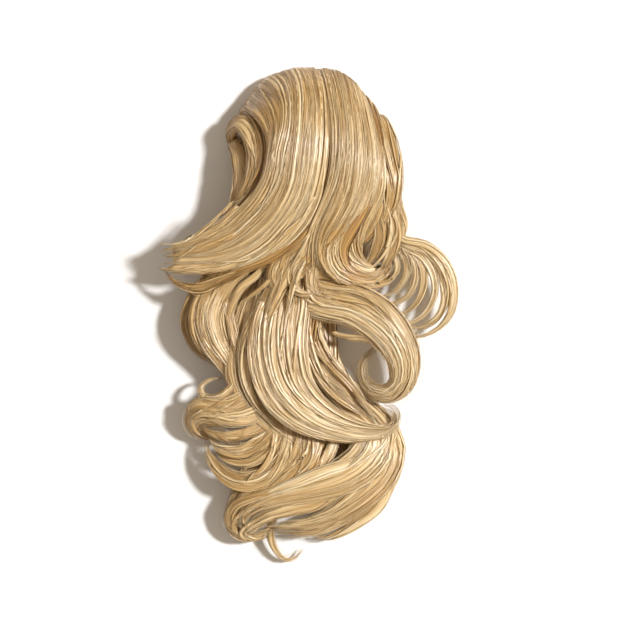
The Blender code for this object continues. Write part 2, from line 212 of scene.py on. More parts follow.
class Lock:
    """A lock of oval section that follows one route. Breadths and depth are in hundredths of a full
    lock's."""

    closed = True

    def __init__(self, root, middle, tip, depth, route):
        self.curve, self.length = route_curve(route)
        share = np.linspace(0, 1, STATIONS)
        breadth = root + (middle - root) * eased(2 * share) - (middle - tip) * eased(2 * share - 1)
        self.half = breadth / 100 * FULL_BREADTH / 2
        self.thick = depth * np.sqrt(breadth / max(root, middle)) / 100 * FULL_DEPTH / 2
        self.across, self.up = self.axes()
        big, small = self.half.max(), self.thick.max()
        self.span = math.pi * (3 * (big + small) - math.sqrt((3 * big + small) * (big + 3 * small)))
        self.narrowing = self.half / self.half.max()

    def axes(self):
        """For each station, the directions of the lock's breadth and of its depth."""
        tangents = unit(np.gradient(self.curve, axis=0))
        level = np.cross(tangents, (0.0, 0.0, 1.0))
        start = int(np.argmax(np.linalg.norm(level, axis=1)))
        across = np.zeros_like(self.curve)
        across[start] = unit(level[start])
        forward = [(i, i - 1) for i in range(start + 1, STATIONS)]
        backward = [(i, i + 1) for i in range(start - 1, -1, -1)]
        strength = LEVELLING / STATIONS
        for here, before in forward + backward:
            moved = unit(across[before] - np.dot(across[before], tangents[here]) * tangents[here])
            aim = level[here] if np.dot(level[here], moved) >= 0 else -level[here]
            across[here] = unit(moved + strength * np.linalg.norm(aim) * aim)
        return across, unit(np.cross(tangents, across))

    def place(self, a, t, size=1.0):
        """Points on the lock and the directions outwards there. a goes from 0 to 1 round the lock, t
        from 0 to 1 along it."""
        angle = 2 * math.pi * a
        x, y = np.cos(angle), np.sin(angle)
        at = np.clip(t, 0, 1) * (STATIONS - 1)
        low = np.minimum(at.astype(int), STATIONS - 2)
        rest = (at - low)[..., None]

        def here(values):
            return values[low] * (1 - rest) + values[low + 1] * rest

        side, rise = here(self.across), here(self.up)
        half, thick = here(self.half[:, None]), here(self.thick[:, None])
        oval = side * half * x[..., None] + rise * thick * y[..., None]
        points = here(self.curve) + np.asarray(size, float)[..., None] * oval
        return points, unit(side * x[..., None] / half + rise * y[..., None] / thick)


class Sheet:
    """A broad sheet of combed hair that lies through several routes, which run side by side from root
    to tip."""

    closed = False

    def __init__(self, thickness, *routes):
        guides = [route_curve(route) for route in routes]
        curves = np.stack([curve for curve, _ in guides])
        self.length = max(length for _, length in guides)
        self.thickness = thickness
        ends = np.concatenate([2 * curves[:1] - curves[1:2], curves, 2 * curves[-1:] - curves[-2:-1]])
        columns = []
        for s in np.linspace(0, len(curves) - 1, SHEET_SAMPLES):
            k = min(int(s), len(curves) - 2)
            x = s - k
            p0, p1, p2, p3 = ends[k:k + 4]
            columns.append(0.5 * (2 * p1 + (p2 - p0) * x + (2 * p0 - 5 * p1 + 4 * p2 - p3) * x ** 2
                                  + (3 * p1 - p0 - 3 * p2 + p3) * x ** 3))
        self.points = np.stack(columns)
        widths = np.linalg.norm(np.diff(self.points, axis=0), axis=2).sum(axis=0)
        self.span = widths.max()
        self.narrowing = np.clip(widths / self.span, SHEET_NARROWEST, 1)
        outward = unit(np.cross(np.gradient(self.points, axis=0), np.gradient(self.points, axis=1)))
        self.outward = outward if outward[..., 2].mean() > 0 else -outward

    def place(self, a, t, size=1.0):
        """Points on the sheet's upper face and the directions outwards there."""
        points, outward = sampled(self.points, a, t), unit(sampled(self.outward, a, t))
        edge = np.sqrt(np.clip(1 - np.abs(2 * a - 1) ** SHEET_EDGE_POWER, 0, 1))
        edge = edge * rising(SHEET_TIP, eased((1 - t) / SHEET_TIP_REACH))
        return points + outward * (size * self.thickness / 2 * edge)[..., None], outward


class Hair:
    """Gathers the meshes of many locks, to make one object of them."""

    def __init__(self, seed):
        self.random = np.random.default_rng(seed)
        self.points, self.quads, self.caps, self.uvs, self.tints_and_painted_light = [], [], [], [], []
        self.count = 0

    def add_tubes(self, rings, tints_and_painted_light, lengths, around):
        """Adds closed tubes. rings is (tubes, stations, sides, 3)."""
        tubes, stations, sides, _ = rings.shape
        index = self.count + np.arange(tubes * stations * sides).reshape(tubes, stations, sides)
        after = np.roll(index, -1, axis=2)
        quads = np.stack([index[:, :-1], after[:, :-1], after[:, 1:], index[:, 1:]], axis=-1)
        self.quads.append(quads.reshape(-1, 4))
        self.caps.append((index[:, 0, ::-1], index[:, -1]))
        rings[..., 2] = np.maximum(rings[..., 2], FLOOR_GAP)
        self.points.append(rings.reshape(-1, 3))
        self.tints_and_painted_light.append(np.clip(np.broadcast_to(tints_and_painted_light, (tubes, stations, sides)), 0, 1).ravel())
        u = (self.count * UV_STEP + np.arange(tubes)[:, None, None] * UV_TUBE_STEP
             + np.arange(sides)[None, None, :] * around[:, None, None] / sides)
        v = np.linspace(0, 1, stations)[None, :, None] * lengths[:, None, None]
        self.uvs.append(np.stack(np.broadcast_arrays(u, v), axis=-1).reshape(-1, 2))
        self.count += tubes * stations * sides

    def add(self, form, fill=1.0, loose=1.0, tone_and_painted_light=(0.0, 0.0), ends=0.05, tufts=1.0):
        """Adds a lock or a sheet. fill is how thickly the strands lie, loose how far they stray, the tone
        pair shifts root and tip from dark to pale, partly the hair's own colour and partly painted shade
        and painted highlight, and ends is over what share of the length they end."""
        self.form = form
        layers = [share * clump_values(self.random, breadth, form.span, form.length, form.closed)
                  for breadth, share in CLUMPS]
        partings = (1 - np.abs(layers[0]) / CLUMPS[0][1]) ** PARTING_POWER
        self.relief = partings + FINE_RELIEF * (0.5 + layers[1] + layers[2])
        self.clumps = CLUMP_GAIN * sum(layers)
        self.tone_and_painted_light = tone_and_painted_light
        self.loose = loose
        self.ends = ends
        self.add_body()
        self.add_tufts(round(tufts * form.span / TUFT_SPACING))
        self.add_strands(round(fill * form.span / STRAND_SPACING))

    def shade(self, t):
        """How much paler or darker the hair is, from root to tip: partly its own colour, partly painted
        shade and painted highlight.
        """
        return self.tone_and_painted_light[0] + (self.tone_and_painted_light[1] - self.tone_and_painted_light[0]) * eased(t / TONE_REACH)

    def deep(self, a, t):
        """How far the parted surface lies under the full one, in metres."""
        share = eased(t / PARTING_ROOT) * rising(PARTING_TIP, eased((1 - t) / PARTING_TIP_REACH))
        return PARTING_DEPTH * sampled(self.relief, a, t) * share

    def add_body(self):
        """The packed fibre of a lock, parted along its length, with an uneven tip."""
        form = self.form
        sides = int(np.clip(form.span / BODY_SPACING, *BODY_SIDES))
        stations = int(np.clip(form.length / BODY_STATION_SPACING, *BODY_STATIONS))
        if form.closed:
            a = np.arange(sides) / sides
        else:
            a = np.linspace(0, 1, sides)
        reach = sampled(self.clumps, a, np.ones(sides))
        tips = 1 - self.ends * (BODY_END + BODY_END_RANGE * reach)
        t = np.linspace(0, 1, stations)[:, None] * tips
        a, t = np.broadcast_arrays(a, t)
        taper = np.minimum(t / BODY_ROOT_TAPER, (tips - t) / (BODY_TIP_TAPER * self.ends))
        narrow = np.clip(taper, BODY_NARROWEST, 1) ** BODY_TAPER_POWER
        points, outward = form.place(a, t, BODY_SIZE * narrow if form.closed else BODY_SIZE)
        points = points - outward * self.deep(a, t)[..., None]
        # The body is darker where its surface is parted and sunk: painted shade in the creases.
        tint_and_painted_light = BODY_TINT - BODY_PARTING_SHADE * sampled(self.relief, a, t)
        tint_and_painted_light = tint_and_painted_light + BODY_CLUMP_TINT * sampled(self.clumps, a, t) + self.shade(t)
        # A sheet's underside is made darker than its top: painted shade beneath it.
        if not form.closed:
            under = slice(-2, 0, -3)
            below, out = form.place(a[:, under], t[:, under], -1.0)
            points = np.concatenate([points, below], axis=1)
            tint_and_painted_light = np.concatenate([tint_and_painted_light, tint_and_painted_light[:, under] - UNDERSIDE_SHADE], axis=1)
        self.add_tubes(points[None], tint_and_painted_light[None], np.array([form.length]), np.array([form.span]))

    def lay(self, a, t, lift, breadth, depth, sides, turned):
        """Rings of many tufts or strands at once, lying flat on the parted surface."""
        points, outward = self.form.place(a, t)
        path = points + outward * (lift - SINK * self.deep(a, t))[..., None]
        run = unit(np.gradient(path, axis=1))
        flat = unit(np.cross(outward, run))
        outward = np.cross(run, flat)
        phase = turned[:, None, None] + 2 * math.pi * np.arange(sides) / sides
        return (
            path[:, :, None]
            + flat[:, :, None] * (breadth[..., None] / 2 * np.cos(phase))[..., None]
            + outward[:, :, None] * (depth[..., None] / 2 * np.sin(phase))[..., None]
        )

    def wander(self, a, t, far):
        """Lets strands drift slowly sideways, each in its own way. far is in metres."""
        by = self.random.uniform(0, 1, (len(a), 3))
        turn = np.sin(2 * math.pi * (t * (0.5 + by[:, :1]) + by[:, 1:2]))
        groups = max(2, round(self.form.span / TIP_GROUP))
        middle = ((a * groups).astype(int) + 0.5) / groups
        gather = TIP_GATHERING * eased((t - TIP_GATHERED_FROM) / TIP_GATHERED_OVER)
        moved = a[:, None] + far / self.form.span * (2 * by[:, 2:] - 0.6) * turn
        moved = moved + (middle[:, None] - a[:, None]) * gather
        return moved % 1.0 if self.form.closed else np.clip(moved, 0.005, 0.995)

    def width_at(self, t):
        """The form's breadth as a share of its greatest one."""
        return np.interp(t, np.linspace(0, 1, STATIONS), self.form.narrowing)

    def add_tufts(self, tufts):
        """Flat tufts over the body, which begin and end here and there and taper to points."""
        rng = self.random
        tufts = max(tufts, 3)
        a = (np.arange(tufts) + rng.uniform(-0.5, 0.5, tufts)) / tufts % 1.0
        begin = np.where(rng.random(tufts) < 0.5, 0.01, 0.5 * rng.random(tufts))
        finish = 1 - 0.30 * rng.random(tufts) ** 2
        local = np.linspace(0, 1, TUFT_STATIONS)[None, :]
        t = begin[:, None] + (finish - begin)[:, None] * local
        a = self.wander(a, t, TUFT_DRIFT * self.loose)
        ends = np.minimum(eased(local / TUFT_ENDS[0]), eased((1 - local) / TUFT_ENDS[1]))
        breadth = rng.uniform(*TUFT_BREADTH, tufts)[:, None] * rising(TUFT_NARROWEST, ends)
        breadth = breadth * rising(TUFT_AT_NARROW, self.width_at(t))
        depth = breadth * rng.uniform(*TUFT_FLATNESS, tufts)[:, None]
        away = rng.uniform(0, TUFT_LIFT, tufts)[:, None] * self.loose * eased((t - 0.6) / 0.4)
        rings = self.lay(a, t, away + 0.05 * depth, breadth, depth, TUFT_SIDES, np.zeros(tufts))
        tints_and_painted_light = LOOSE_TINT + rng.normal(0, TUFT_TINT_SPREAD, tufts)[:, None]
        tints_and_painted_light = tints_and_painted_light + TUFT_CLUMP_TINT * sampled(self.clumps, a, t) + self.shade(t)
        around = TUFT_UV_BREADTH * breadth.max(axis=1)
        self.add_tubes(rings, tints_and_painted_light[..., None], np.full(tufts, self.form.length), around)

    def add_strands(self, strands):
        """Single strands, most of them close to the surface and a few well off it."""
        rng = self.random
        strands = max(strands, 6)
        stray = rng.random(strands) < STRAY_SHARE * self.loose
        a = rng.random(strands)
        begin = 0.01 + 0.6 * rng.random(strands) ** 3
        finish = np.minimum(1.0, begin + 0.35 + rng.random(strands))
        finish = np.where(finish < 1, finish, 1 - self.ends * rng.random(strands) ** 2)
        local = np.linspace(0, 1, STRAND_STATIONS)[None, :]
        t = begin[:, None] + (finish - begin)[:, None] * local
        a = self.wander(a, t, np.where(stray, STRAY_DRIFT, STRAND_DRIFT)[:, None] * self.loose)
        away = np.where(stray, rng.uniform(*STRAY_LIFT, strands), rng.uniform(*STRAND_LIFT, strands))
        lift = away[:, None] * eased((t - 0.12) / 0.3) * rising(0.4, np.sin(math.pi * local))
        ends = np.minimum(eased(local / STRAND_ENDS[0]), eased((1 - local) / STRAND_ENDS[1]))
        size = rng.uniform(*STRAND_BREADTH, strands)[:, None] * rising(STRAND_NARROWEST, ends)
        rings = self.lay(a, t, lift, size, size, STRAND_SIDES, rng.uniform(0, 2 * math.pi, strands))
        tints_and_painted_light = LOOSE_TINT + rng.normal(0, STRAND_TINT_SPREAD, strands)[:, None]
        tints_and_painted_light = tints_and_painted_light + STRAND_CLUMP_TINT * sampled(self.clumps, a, t) + self.shade(t)
        lengths, around = np.full(strands, self.form.length), np.full(strands, STRAND_UV_BREADTH)
        self.add_tubes(rings, tints_and_painted_light[..., None], lengths, around)

    def make(self, name, material):
        """Turns what was gathered into one object that takes the place of the model's plain hair."""
        points = np.concatenate(self.points)
        quads = np.concatenate(self.quads)
        ends = [cap for pair in self.caps for part in pair for cap in part]
        mesh = bpy.data.meshes.new(name)
        mesh.vertices.add(len(points))
        mesh.vertices.foreach_set("co", points.ravel().astype(np.float32))
        corners = np.concatenate([quads.ravel(), *ends])
        sizes = np.concatenate([np.full(len(quads), 4), [len(end) for end in ends]])
        mesh.loops.add(len(corners))
        mesh.loops.foreach_set("vertex_index", corners.astype(np.int32))
        mesh.polygons.add(len(sizes))
        starts = np.concatenate([[0], np.cumsum(sizes)[:-1]])
        mesh.polygons.foreach_set("loop_start", starts.astype(np.int32))
        mesh.update(calc_edges=True)
        uv = mesh.uv_layers.new(name="fibre")
        uv.data.foreach_set("uv", np.concatenate(self.uvs)[corners].ravel().astype(np.float32))
        tint_and_painted_light = mesh.attributes.new("tint_and_painted_light", "FLOAT", "POINT")
        tint_and_painted_light.data.foreach_set("value", np.concatenate(self.tints_and_painted_light).astype(np.float32))
        mesh.shade_smooth()
        mesh.materials.append(material)
        piece = bpy.data.objects.new(name, mesh)
        bpy.context.scene.collection.objects.link(piece)
        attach(piece, "root")
        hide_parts("hair")


def linear(red, green, blue):
    """A colour seen as 0 to 255, as the shader's own numbers."""
    shares = [value / 255 for value in (red, green, blue)]
    return (*[((s + 0.055) / 1.055) ** 2.4 if s > 0.04 else s / 12.92 for s in shares], 1.0)


STREAKS = ("Streak", 420, 9, 3.0)
RIDGES = ("Ridge", 1500, 14, 2.0)
FIBRE_GRAIN = 0.65


def fibre_group():
    """Streaks and fine ridges that run along the fibre, from the UV map's metres."""
    group = bpy.data.node_groups.new("fibre", "ShaderNodeTree")
    group.interface.new_socket("Vector", in_out="INPUT", socket_type="NodeSocketVector")
    group.interface.new_socket("Streak", in_out="OUTPUT", socket_type="NodeSocketFloat")
    group.interface.new_socket("Ridge", in_out="OUTPUT", socket_type="NodeSocketFloat")
    start = group.nodes.new("NodeGroupInput")
    end = group.nodes.new("NodeGroupOutput")
    for name, around, along, detail in (STREAKS, RIDGES):
        stretch = group.nodes.new("ShaderNodeMapping")
        stretch.inputs["Scale"].default_value = (around, along, 1)
        noise = group.nodes.new("ShaderNodeTexNoise")
        noise.noise_dimensions = "2D"
        noise.inputs["Scale"].default_value = 1.0
        noise.inputs["Detail"].default_value = detail
        noise.inputs["Roughness"].default_value = FIBRE_GRAIN
        group.links.new(start.outputs["Vector"], stretch.inputs["Vector"])
        group.links.new(stretch.outputs["Vector"], noise.inputs["Vector"])
        group.links.new(noise.outputs["Fac"], end.inputs[name])
    return group


FIBRE = fibre_group()
HAIR_ROUGHNESS = 0.36
HAIR_STRETCH = 0.85
HAIR_SPECULAR = 1.0
STREAK_TINT = 1.1
RIDGE_STRENGTH = 0.6
RIDGE_DEPTH = 0.0006


def hair_material(name, shades):
    """Glossy combed fibre, from the darkest colour to the palest. The tint carries the strands' own colours
    and the painted shade and painted highlight laid into them.
    """
    material = bpy.data.materials.new(name)
    material.use_nodes = True
    nodes = material.node_tree.nodes
    links = material.node_tree.links
    shader = nodes["Principled BSDF"]
    shader.inputs["Roughness"].default_value = HAIR_ROUGHNESS
    shader.inputs["Anisotropic"].default_value = HAIR_STRETCH
    shader.inputs["Specular IOR Level"].default_value = HAIR_SPECULAR
    uv = nodes.new("ShaderNodeUVMap")
    uv.uv_map = "fibre"
    fibre = nodes.new("ShaderNodeGroup")
    fibre.node_tree = FIBRE
    links.new(uv.outputs["UV"], fibre.inputs["Vector"])
    tint_and_painted_light = nodes.new("ShaderNodeAttribute")
    tint_and_painted_light.attribute_name = "tint_and_painted_light"
    mix = nodes.new("ShaderNodeMath")
    mix.operation = "MULTIPLY_ADD"
    mix.inputs[1].default_value = STREAK_TINT
    streak = nodes.new("ShaderNodeMath")
    streak.operation = "SUBTRACT"
    streak.inputs[1].default_value = 0.5
    links.new(fibre.outputs["Streak"], streak.inputs[0])
    links.new(streak.outputs["Value"], mix.inputs[0])
    links.new(tint_and_painted_light.outputs["Fac"], mix.inputs[2])
    ramp = nodes.new("ShaderNodeValToRGB")
    ramp.color_ramp.elements[0].color = linear(*shades[0])
    ramp.color_ramp.elements[1].color = linear(*shades[-1])
    for k, shade in enumerate(shades[1:-1], 1):
        element = ramp.color_ramp.elements.new(k / (len(shades) - 1))
        element.color = linear(*shade)
    links.new(mix.outputs["Value"], ramp.inputs["Fac"])
    links.new(ramp.outputs["Color"], shader.inputs["Base Color"])
    bump = nodes.new("ShaderNodeBump")
    bump.inputs["Strength"].default_value = RIDGE_STRENGTH
    bump.inputs["Distance"].default_value = RIDGE_DEPTH
    links.new(fibre.outputs["Ridge"], bump.inputs["Height"])
    links.new(bump.outputs["Normal"], shader.inputs["Normal"])
    tangent = nodes.new("ShaderNodeTangent")
    tangent.direction_type = "UV_MAP"
    tangent.uv_map = "fibre"
    links.new(tangent.outputs["Tangent"], shader.inputs["Tangent"])
    return material


# The under hair is a darker copy of the top hair: painted shade for the hair that lies low and under the
# sheets.
UNDER_SHADED_COLOURS = ((104, 68, 26), (166, 122, 62), (206, 168, 108), (232, 204, 154))
TOP_SHADES = ((132, 96, 46), (194, 156, 98), (228, 200, 150), (248, 232, 198))
shaded_under_hair = hair_material("shaded_under_hair", UNDER_SHADED_COLOURS)
top_hair = hair_material("top_hair", TOP_SHADES)
bed = Hair(11)
bed.add(Lock(360, 300, 130, 400, (
    (2, 80, 46), (0, 52, 44), (-6, 22, 40), (-10, -6, 38), (-8, -28, 34), (-4, -46, 26))), fill=0.5)
bed.add(Lock(150, 160, 80, 120, (
    (-22, 50, 12), (-36, 30, 8), (-50, 12, 7), (-54, -6, 7), (-46, -22, 7), (-44, -36, 8))), fill=0.5)
bed.add(Lock(170, 200, 100, 120, (
    (-8, 46, 12), (-20, 22, 8), (-26, -4, 7), (-20, -28, 7), (-28, -50, 7), (-36, -66, 8), (-30, -80, 9))),
    fill=0.5)
bed.add(Lock(160, 180, 100, 120, (
    (12, 46, 12), (24, 30, 8), (22, 14, 7), (6, 4, 7), (-2, -14, 7), (2, -34, 7), (14, -50, 7),
    (28, -62, 7), (20, -74, 8), (0, -80, 9))), fill=0.5)
bed.make("bed_hair", shaded_under_hair)

# The left bulge: locks that leave the cap's left side, swing out and turn back in under the wave.
left = Hair(12)
left.add(Lock(110, 80, 40, 100, (
    (-24, 56, 28), (-40, 38, 34), (-58, 21, 38), (-75, 9, 41), (-82, -2, 40), (-76, -12, 36),
    (-63, -18, 32), (-50, -24, 30))), tone_and_painted_light=(-0.12, -0.12))
left.add(Lock(150, 170, 90, 130, (
    (-16, 52, 28), (-22, 30, 34), (-30, 13, 41), (-39, 2, 47), (-44, -12, 50), (-44, -25, 50),
    (-34, -36, 48), (-18, -45, 45), (0, -51, 42), (18, -55, 38))), tone_and_painted_light=(-0.2, -0.05))
left.add(Lock(150, 150, 80, 130, (
    (-24, 56, 34), (-32, 38, 40), (-45, 22, 46), (-60, 11, 52), (-67, 1, 55), (-64, -9, 53),
    (-55, -18, 47), (-47, -27, 42), (-40, -37, 36))))
left.add(Lock(50, 60, 30, 50, (
    (-50, 24, 50), (-62, 15, 55), (-72, 8, 56), (-76, 2, 55), (-76, -5, 53), (-73, -10, 50),
    (-67, -15, 47), (-60, -19, 44), (-52, -23, 42))))
left.add(Lock(25, 35, 15, 35, (
    (-20, 26, 66), (-28, 22, 67), (-35, 17, 65), (-45, 12, 63), (-51, 6, 62), (-54, 0, 60), (-52, -6, 56),
    (-46, -12, 53))), tone_and_painted_light=(0.1, 0.1))
left.add(Lock(40, 55, 25, 45, (
    (-56, 8, 60), (-53, 0, 60), (-50, -8, 58), (-46, -15, 57), (-44, -24, 56), (-40, -32, 54),
    (-32, -40, 52), (-22, -46, 50))), tone_and_painted_light=(-0.05, -0.05))
left.add(Lock(40, 70, 30, 60, (
    (-20, 20, 66), (-26, 12, 66), (-30, 5, 66), (-35, 0, 66), (-40, -7, 66), (-43, -16, 64), (-42, -26, 62),
    (-34, -36, 60), (-22, -43, 58))), tone_and_painted_light=(-0.1, 0.0))
left.add(Lock(30, 30, 10, 30, (
    (-62, 12, 60), (-70, 4, 62), (-71, -4, 61), (-66, -12, 58), (-58, -18, 54), (-50, -24, 50))),
    tone_and_painted_light=(0.08, 0.08))
left.make("left_hair", top_hair)

# The lower left curls: locks that roll out over the edge one below the other and turn back underneath.
shells = Hair(13)
shells.add(Lock(150, 150, 70, 130, (
    (-8, 40, 26), (-14, 12, 30), (-18, -12, 36), (-26, -29, 43), (-42, -37, 49), (-59, -39, 50),
    (-71, -40, 44), (-77, -43, 34), (-72, -46, 25), (-60, -46, 20))), tone_and_painted_light=(-0.15, -0.05))
shells.add(Lock(140, 110, 50, 110, (
    (-4, 36, 22), (-8, 8, 26), (-10, -18, 32), (-19, -41, 41), (-33, -51, 45), (-50, -54, 45),
    (-61, -52, 39), (-65, -48, 31), (-60, -45, 25))), tone_and_painted_light=(-0.15, -0.05))
shells.add(Lock(150, 110, 50, 110, (
    (0, 34, 18), (-4, 6, 22), (-4, -22, 28), (-9, -46, 40), (-20, -58, 44), (-36, -64, 44),
    (-52, -64, 40), (-62, -59, 34), (-65, -52, 27))), tone_and_painted_light=(-0.15, -0.05))
RINGS = (
    (60, 80, 40, 60, ((-20, -32, 46), (-30, -37, 50), (-41, -40, 54), (-52, -40, 56), (-64, -38, 54),
        (-74, -38, 48), (-80, -41, 39), (-77, -46, 31), (-67, -48, 27), (-56, -47, 26))),
    (40, 60, 20, 45, ((-34, -24, 50), (-43, -30, 55), (-54, -34, 58), (-65, -35, 56), (-75, -35, 50),
        (-80, -37, 42), (-79, -42, 34), (-72, -46, 29))),
    (30, 35, 12, 30, ((-46, -14, 52), (-48, -20, 53), (-51, -27, 55), (-57, -31, 56), (-65, -33, 52),
        (-72, -32, 47), (-73, -28, 42), (-66, -25, 40), (-57, -25, 40))),
    (24, 24, 8, 24, ((-42, -26, 54), (-50, -32, 58), (-60, -36, 59), (-70, -37, 55), (-78, -40, 47),
        (-77, -45, 38), (-70, -48, 32))),
    (45, 50, 20, 50, ((-24, -36, 44), (-34, -44, 48), (-46, -47, 50), (-58, -48, 49), (-68, -46, 44),
        (-74, -43, 37))),
    (45, 55, 22, 55, ((-18, -34, 42), (-26, -43, 46), (-35, -50, 49), (-46, -53.5, 49), (-57, -53, 45),
        (-64, -50, 39), (-66, -46, 33))),
    (20, 24, 8, 22, ((-22, -42, 48), (-31, -50, 51), (-43, -55, 52), (-55, -55, 49), (-64, -52, 43),
        (-68, -47, 37))),
    (45, 45, 18, 50, ((-14, -38, 42), (-20, -48, 46), (-29, -55, 48), (-41, -58.5, 48), (-53, -58, 44),
        (-61, -55, 38), (-64, -50, 32))),
    (60, 65, 25, 60, ((-10, -40, 40), (-14, -52, 45), (-21, -60, 47), (-33, -65.5, 48), (-46, -66, 46),
        (-57, -63, 42), (-66, -57, 37), (-69, -52, 31), (-66, -47, 26))),
    (24, 28, 8, 25, ((-12, -54, 50), (-22, -63, 52), (-36, -68, 51), (-50, -68, 48), (-61, -64, 43),
        (-69, -57, 37), (-71, -51, 32))),
)
for lock in RINGS:
    shells.add(Lock(*lock), fill=1.4)
shells.make("shell_hair", top_hair)

# The fan: hair that comes out from under the wave and spreads down to the left, mostly in its shade. Its
# darker tone is painted shade.
fan = Hair(20)
fan.add(Lock(190, 220, 110, 150, (
    (4, 32, 16), (2, 4, 20), (2, -24, 28), (-1, -46, 38), (-10, -59, 43), (-25, -68, 43),
    (-40, -73, 40), (-49, -80, 34), (-47, -86, 26))), tone_and_painted_light=(-0.2, -0.05))
FAN = (
    (40, 60, 25, 50, ((-20, -28, 46), (-15, -40, 48), (-15, -51, 50), (-20, -60, 51), (-30, -67, 50),
        (-43, -71, 46), (-52, -77, 40))),
    (40, 60, 25, 50, ((-8, -30, 46), (-7, -46, 48), (-10, -57, 51), (-18, -65, 52), (-31, -70, 50),
        (-44, -74, 45))),
    (40, 60, 25, 50, ((4, -34, 44), (4, -48, 47), (0, -58, 51), (-10, -66, 53), (-24, -70, 52),
        (-38, -74, 47))),
    (40, 50, 25, 45, ((16, -38, 40), (16, -50, 44), (9, -59, 50), (-2, -65, 53), (-16, -68, 54))),
    (18, 22, 8, 20, ((-26, -34, 48), (-24, -46, 50), (-27, -56, 52), (-36, -63, 52), (-48, -66, 48))),
    (18, 22, 8, 20, ((0, -40, 48), (-3, -54, 52), (-12, -63, 55), (-26, -68, 54), (-40, -70, 50))),
)
for lock in FAN:
    fan.add(Lock(*lock), tone_and_painted_light=(-0.1, 0.0))
fan.make("fan_hair", top_hair)

# The last turn of the tail: broad locks that come down on the right, cross the tail's end and curl up
# at its left, with one hooked lock under them.
bottom = Hair(14)
bottom.add(Lock(150, 180, 70, 150, (
    (6, 28, 14), (2, 2, 16), (8, -20, 20), (24, -35, 22), (42, -44, 25), (51, -53, 30),
    (47, -63, 36), (33, -72, 40), (16, -79, 40), (-2, -83, 37), (-20, -84, 32), (-36, -86, 26))))
bottom.add(Lock(130, 150, 50, 130, (
    (8, 24, 9), (5, -2, 9), (13, -24, 10), (32, -37, 12), (48, -46, 16), (54, -57, 22),
    (48, -69, 27), (36, -78, 28), (20, -84, 24), (5, -87, 18))))
bottom.add(Lock(130, 130, 60, 130, (
    (-6, 20, 10), (-14, -6, 10), (-22, -32, 13), (-34, -55, 20), (-46, -71, 28), (-51, -80, 30),
    (-47, -87, 25), (-35, -87, 19))), tone_and_painted_light=(-0.1, -0.05))
bottom.add(Lock(150, 190, 60, 140, (
    (2, 30, 22), (-3, 4, 24), (2, -18, 28), (16, -33, 31), (34, -42, 34), (44, -49, 40),
    (38, -57, 47), (22, -64, 51), (2, -68, 53), (-18, -71, 51), (-35, -75, 46), (-45, -81, 39),
    (-40, -87, 31), (-28, -85, 28))), tone_and_painted_light=(0.0, 0.12))
# The fifth column shifts each lock's colour; the first lock's raised value is a painted highlight along the
# turn's upper edge.
TURNS = (
    (40, 60, 25, 45, 0.14, ((52, -44, 38), (50, -50, 46), (40, -55, 53), (27, -59, 57), (10, -62, 60),
        (-6, -66, 60), (-20, -69, 57), (-34, -73, 52), (-46, -78, 44))),
    (50, 70, 30, 50, 0.05, ((54, -46, 30), (51, -55, 34), (45, -64, 38), (36, -72, 42), (25, -79, 43),
        (12, -84, 40), (-4, -87, 34), (-20, -87, 29))),
    (35, 45, 20, 45, 0.08, ((56, -46, 22), (57, -55, 26), (55, -65, 29), (50, -73, 30), (44, -78, 31),
        (35, -82, 30), (24, -86, 27), (12, -89, 24), (0, -88, 20))),
    (40, 60, 20, 40, 0.02, ((30, -64, 50), (18, -71, 51), (4, -75, 51), (-12, -77, 49), (-28, -80, 44),
        (-42, -84, 37), (-50, -84, 32))),
    (35, 45, 12, 40, 0.00, ((-8, -70, 56), (-26, -71, 55), (-40, -73, 50), (-50, -76, 43), (-54, -81, 36),
        (-50, -87, 29), (-43, -89, 26), (-34, -88, 27), (-26, -84, 31), (-18, -80, 36))),
    (30, 40, 12, 35, -0.06, ((-10, -78, 48), (-24, -80, 46), (-36, -83, 41), (-45, -87, 33), (-38, -90, 26),
        (-26, -88, 24))),
    (20, 24, 8, 20, 0.10, ((44, -60, 44), (32, -70, 47), (16, -78, 48), (-2, -82, 45), (-20, -84, 40),
        (-38, -84, 34))),
    (16, 20, 6, 18, 0.10, ((20, -66, 56), (4, -72, 56), (-14, -74, 54), (-32, -75, 51), (-46, -79, 44),
        (-52, -85, 36), (-44, -88, 33), (-32, -84, 36), (-22, -80, 41))),
)
for *sizes, tone_and_painted_light, route in TURNS:
    bottom.add(Lock(*sizes, route), fill=1.3, tone_and_painted_light=(tone_and_painted_light, tone_and_painted_light))
bottom.add(Lock(45, 35, 12, 50, (
    (-14, -62, 26), (-22, -76, 26), (-27, -86, 24), (-25, -93, 19), (-18, -98, 14), (-11, -98, 10),
    (-5, -94, 8))), fill=1.6)
bottom.make("bottom_hair", top_hair)

